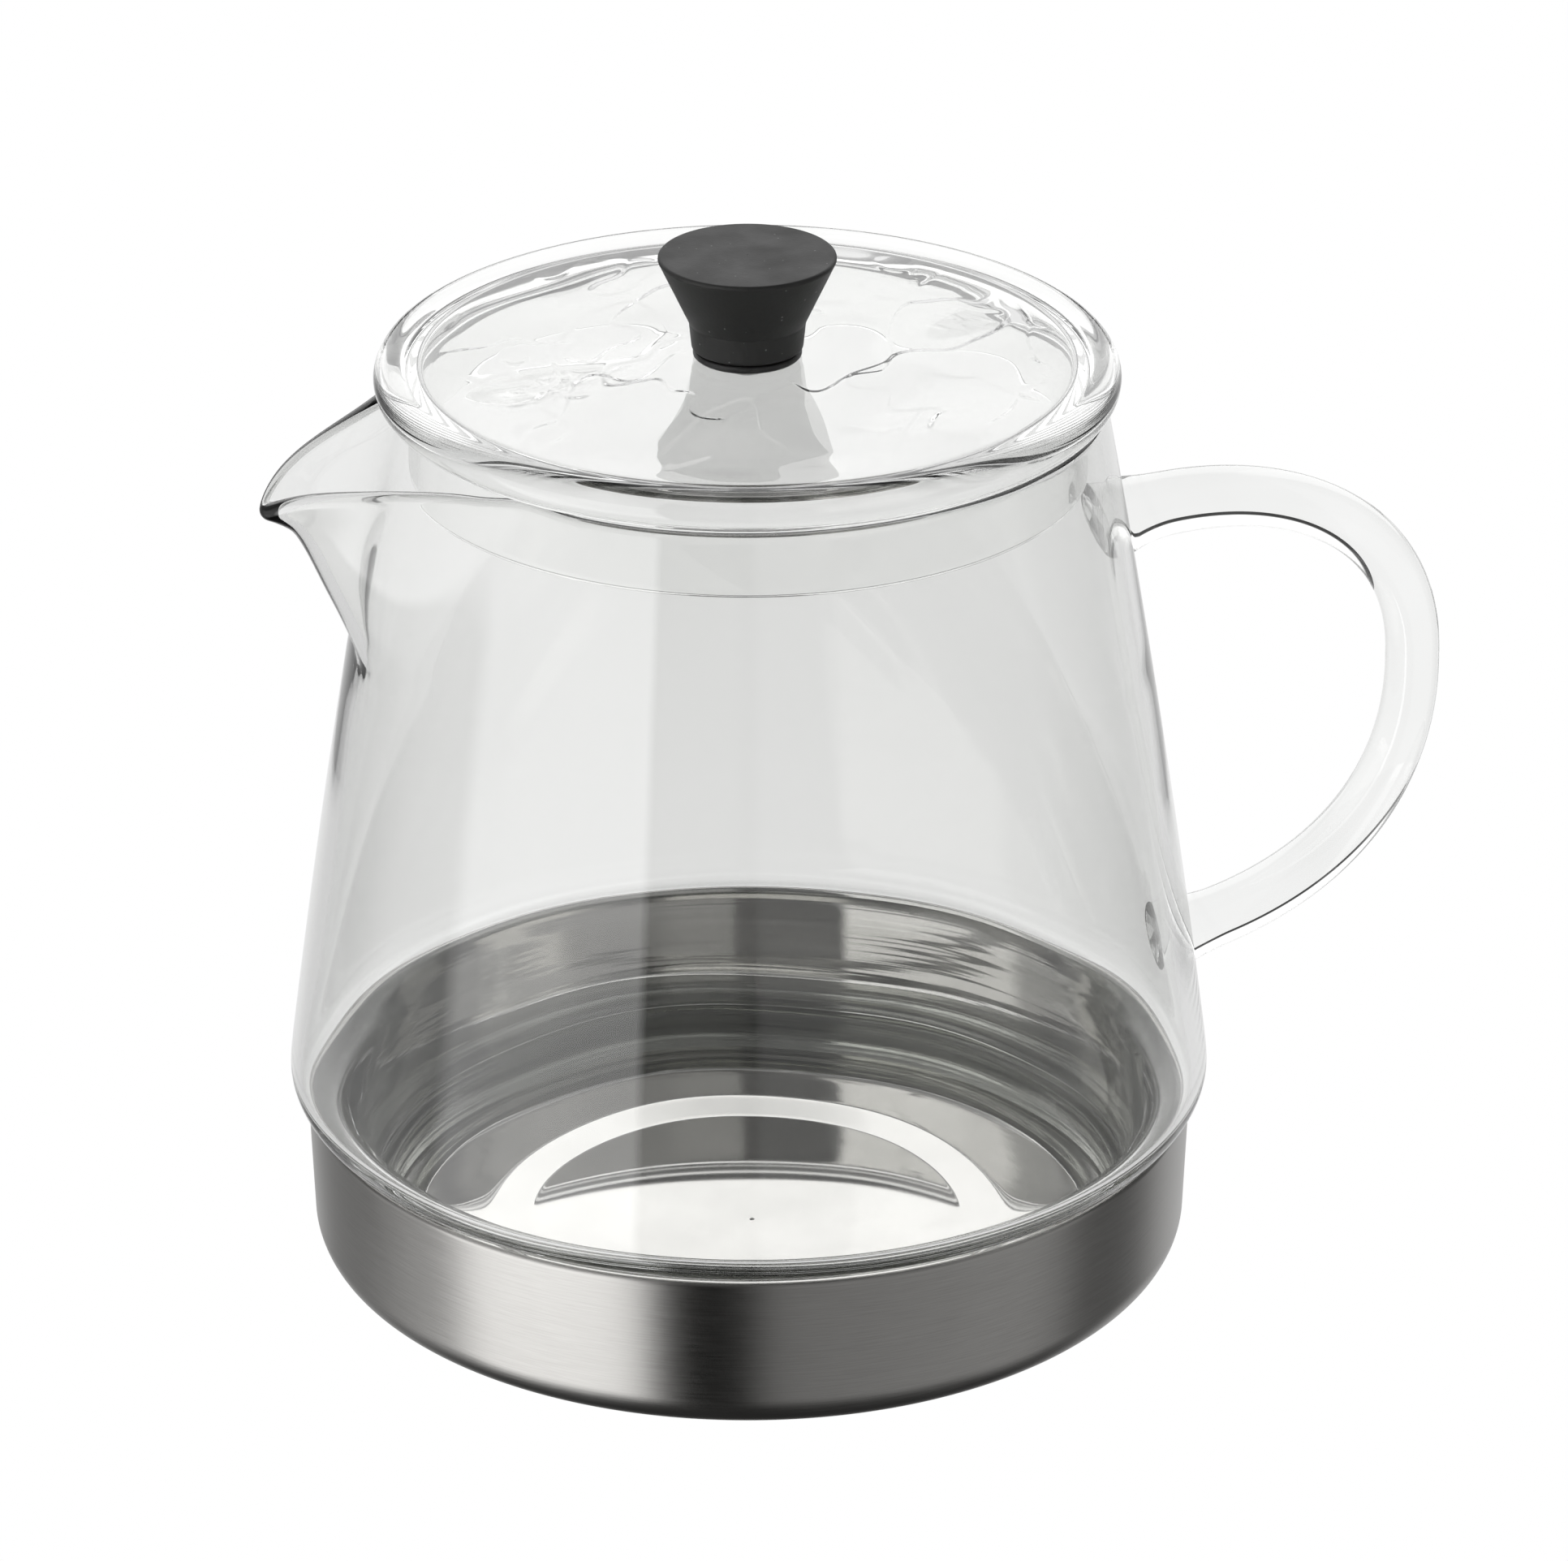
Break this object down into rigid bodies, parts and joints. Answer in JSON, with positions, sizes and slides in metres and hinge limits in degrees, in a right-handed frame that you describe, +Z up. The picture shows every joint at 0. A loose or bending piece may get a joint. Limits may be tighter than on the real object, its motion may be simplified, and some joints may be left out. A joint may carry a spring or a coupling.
{
  "type": "glass teapot",
  "caption": "Clear glass teapot with a pulled spout and rod handle, seated in a pressed steel cup on a silicone ring, with a loose glass lid and a black knob.",
  "frame": {"origin": "centre of the steel cup's flat underside, on the plane it stands on", "axes": "+Z up along the pot's axis, +X towards the handle, -X towards the spout, +Y across; the XZ plane is the mirror plane"},
  "size_m": [0.1794, 0.1366, 0.1561],
  "materials": {
    "clear_glass": "clear fire-polished borosilicate glass",
    "rod_glass": "clear solid glass rod, fire polished",
    "brushed_steel": "horizontally brushed outside, mirror polished inside",
    "clear_silicone": "translucent silicone",
    "lid_clear_glass": "clear pressed and fire-polished glass",
    "black_plastic": "matte black moulded plastic",
    "insert_brass": "turned brass",
    "black_silicone": "black silicone",
    "washer_silicone": "translucent silicone",
    "screw_steel": "bright stainless steel"
  },
  "bodies": {
    "pot": {"glass_body": "clear_glass", "glass_handle": "rod_glass", "steel_base": "brushed_steel", "seal_ring": "clear_silicone"},
    "lid": {"lid_glass": "lid_clear_glass", "lid_knob": "black_plastic", "knob_insert": "insert_brass", "knob_gasket": "black_silicone", "screw_washer": "washer_silicone", "knob_screw": "screw_steel"}
  },
  "joints": [
    {"name": "lid_lift", "type": "slide", "parent": "pot", "child": "lid", "axis": [0, 0, 1], "range_m": [0, 0.06]}
  ]
}
